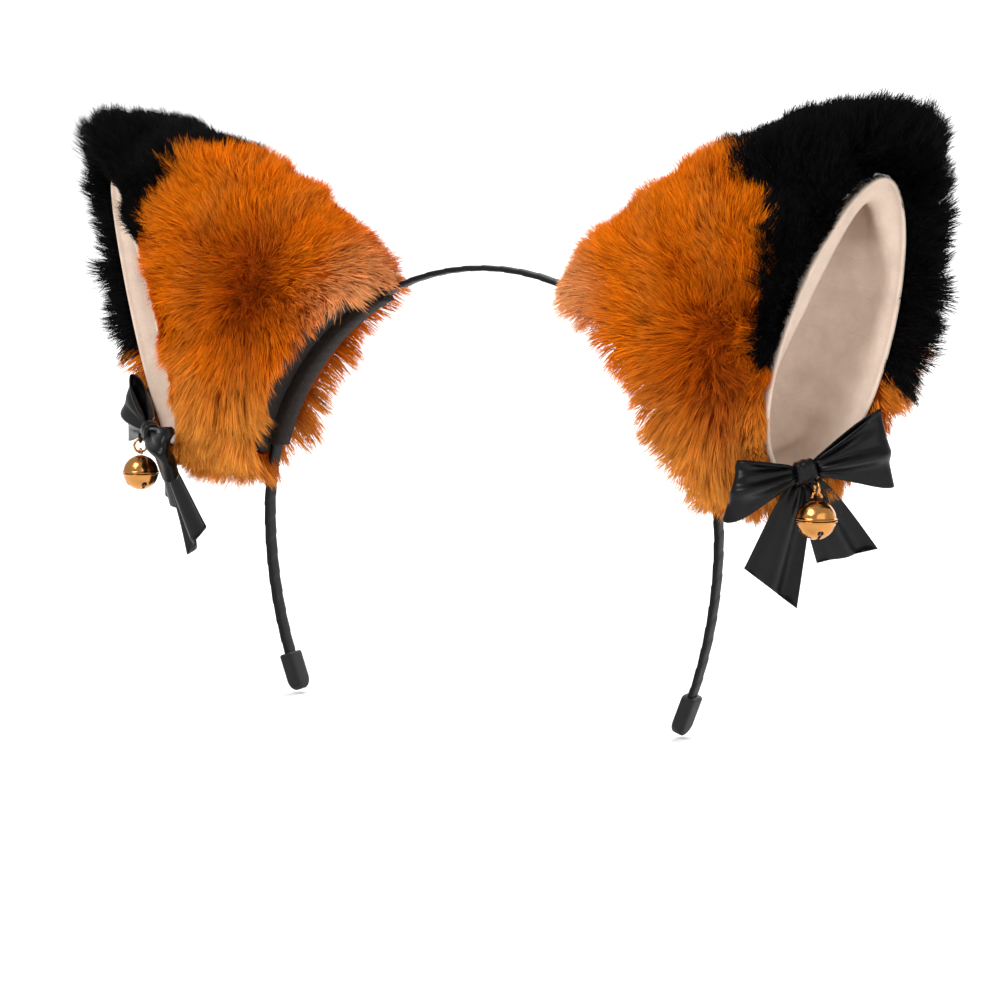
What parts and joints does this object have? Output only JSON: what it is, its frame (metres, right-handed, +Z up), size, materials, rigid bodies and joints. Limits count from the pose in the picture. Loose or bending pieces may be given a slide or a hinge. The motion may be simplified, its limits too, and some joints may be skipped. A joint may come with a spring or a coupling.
{
  "type": "animal ears headband",
  "caption": "Thin wrapped spring headband carrying stuffed fur fox ears with fleece-lined cups, satin bows and swinging jingle bells.",
  "frame": {"origin": "underside of the band at the middle of its crown, where it rests on the head", "axes": "+X to the wearer's left, -Y the way the wearer faces, +Z up"},
  "size_m": [0.2856, 0.0534, 0.1787],
  "materials": {
    "spring_steel": "bare spring steel",
    "ribbon_wrap": "black ribbon wound in a spiral",
    "tip_rubber": "soft matt cap",
    "orange_fur": "long-pile faux fur",
    "black_fur": "long-pile faux fur",
    "fleece": "short-pile fleece",
    "filling": "loose polyester filling",
    "felt": "pressed felt",
    "satin": "satin ribbon",
    "thread": "waxed thread",
    "gold_plate": "polished gold plating"
  },
  "bodies": {
    "headband": {"band_spring": "spring_steel", "band_wrap": "ribbon_wrap", "band_left_tip": "tip_rubber", "band_right_tip": "tip_rubber", "left_ear_front_orange_fur": "orange_fur", "left_ear_front_black_fur": "black_fur", "left_ear_back_orange_fur": "orange_fur", "left_ear_back_black_fur": "black_fur", "left_ear_lining": "fleece", "left_ear_filling": "filling", "left_ear_shaping_wire": "spring_steel", "left_ear_base_felt": "felt", "left_ear_band_sleeve": "felt", "left_bow_outer_loop": "satin", "left_bow_inner_loop": "satin", "left_bow_outer_tail": "satin", "left_bow_inner_tail": "satin", "left_bow_knot": "satin", "left_bell_stitch": "thread", "right_ear_front_orange_fur": "orange_fur", "right_ear_front_black_fur": "black_fur", "right_ear_back_orange_fur": "orange_fur", "right_ear_back_black_fur": "black_fur", "right_ear_lining": "fleece", "right_ear_filling": "filling", "right_ear_shaping_wire": "spring_steel", "right_ear_base_felt": "felt", "right_ear_band_sleeve": "felt", "right_bow_outer_loop": "satin", "right_bow_inner_loop": "satin", "right_bow_outer_tail": "satin", "right_bow_inner_tail": "satin", "right_bow_knot": "satin", "right_bell_stitch": "thread"},
    "left_ring": {"left_bell_ring": "gold_plate"},
    "left_bell": {"left_bell_staple": "gold_plate", "left_bell_upper_shell": "gold_plate", "left_bell_lower_shell": "gold_plate"},
    "left_pellet": {"left_bell_pellet": "spring_steel"},
    "right_ring": {"right_bell_ring": "gold_plate"},
    "right_bell": {"right_bell_staple": "gold_plate", "right_bell_upper_shell": "gold_plate", "right_bell_lower_shell": "gold_plate"},
    "right_pellet": {"right_bell_pellet": "spring_steel"}
  },
  "joints": [
    {"name": "left_ring_swing", "type": "hinge", "parent": "headband", "child": "left_ring", "pos_m": [0.11329, -0.01848, -0.05524], "axis": [-0.788, -0.6157, 0], "range_deg": [-1, 45]},
    {"name": "left_bell_swing", "type": "hinge", "parent": "left_ring", "child": "left_bell", "pos_m": [0.11329, -0.01848, -0.05834], "axis": [0.6157, -0.788, 0], "range_deg": [-30, 30]},
    {"name": "left_pellet_rattle", "type": "slide", "parent": "left_bell", "child": "left_pellet", "axis": [0, 0, 1], "range_m": [0, 0.0064]},
    {"name": "right_ring_swing", "type": "hinge", "parent": "headband", "child": "right_ring", "pos_m": [-0.11329, -0.01848, -0.05524], "axis": [-0.788, 0.6157, 0], "range_deg": [-1, 45]},
    {"name": "right_bell_swing", "type": "hinge", "parent": "right_ring", "child": "right_bell", "pos_m": [-0.11329, -0.01848, -0.05834], "axis": [-0.6157, -0.788, 0], "range_deg": [-30, 30]},
    {"name": "right_pellet_rattle", "type": "slide", "parent": "right_bell", "child": "right_pellet", "axis": [0, 0, 1], "range_m": [0, 0.0064]}
  ]
}
